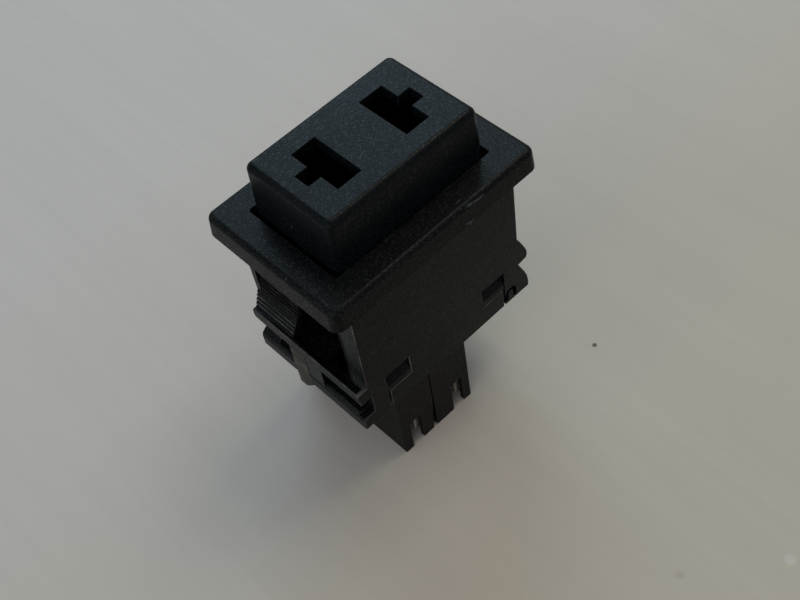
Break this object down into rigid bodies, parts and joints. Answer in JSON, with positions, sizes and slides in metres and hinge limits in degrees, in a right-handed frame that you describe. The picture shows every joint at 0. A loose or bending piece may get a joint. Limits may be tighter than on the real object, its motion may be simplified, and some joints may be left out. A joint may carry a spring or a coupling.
{
  "type": "pushbutton switch",
  "caption": "Rectangular snap-in pushbutton switch with a bare plunger, two T slots for a cap, and shrouded tab terminals below.",
  "frame": {"origin": "middle of the switch in plan, at the foot of the terminal shrouds that it stands on", "axes": "+X along the bezel away from the serrated latch wing, +Y towards the back, +Z out of the button"},
  "size_m": [0.03, 0.0212, 0.0432],
  "materials": {
    "housing": "black moulded plastic with a fine spark-eroded texture",
    "button": "black moulded plastic with a fine spark-eroded texture",
    "base": "black moulded plastic",
    "shroud": "black moulded plastic",
    "slider": "natural brown moulded plastic",
    "spring_wire": "bright spring wire",
    "bridge": "rolled copper alloy",
    "silver_contact": "silver contact",
    "tab": "tin-plated brass"
  },
  "bodies": {
    "case": {"housing": "housing", "base": "base", "shroud_left": "shroud", "shroud_right": "shroud", "return_spring": "spring_wire", "tab_front_left": "tab", "tab_front_right": "tab", "tab_back_left": "tab", "tab_back_right": "tab", "end_tab": "tab", "fixed_contact_front_left": "silver_contact", "fixed_contact_front_right": "silver_contact", "fixed_contact_back_left": "silver_contact", "fixed_contact_back_right": "silver_contact"},
    "plunger": {"button": "button", "slider": "slider", "contact_spring_front": "spring_wire", "contact_spring_back": "spring_wire"},
    "front_bridge": {"bridge_front": "bridge", "moving_contact_front_left": "silver_contact", "moving_contact_front_right": "silver_contact"},
    "back_bridge": {"bridge_back": "bridge", "moving_contact_back_left": "silver_contact", "moving_contact_back_right": "silver_contact"}
  },
  "joints": [
    {"name": "button_press", "type": "slide", "parent": "case", "child": "plunger", "axis": [0, 0, -1], "range_m": [0, 0.0036], "stiffness_N_per_m": 450, "springref_m": -0.003, "deforming": ["return_spring", "contact_spring_front", "contact_spring_back"]},
    {"name": "front_bridge_travel", "type": "slide", "parent": "case", "child": "front_bridge", "axis": [0, 0, -1], "range_m": [0, 0.0024]},
    {"name": "back_bridge_travel", "type": "slide", "parent": "case", "child": "back_bridge", "axis": [0, 0, -1], "range_m": [0, 0.0024]}
  ],
  "couplings": [
    {"joint": "front_bridge_travel", "follows": "button_press", "ratio": 0.6666},
    {"joint": "back_bridge_travel", "follows": "button_press", "ratio": 0.6666}
  ]
}
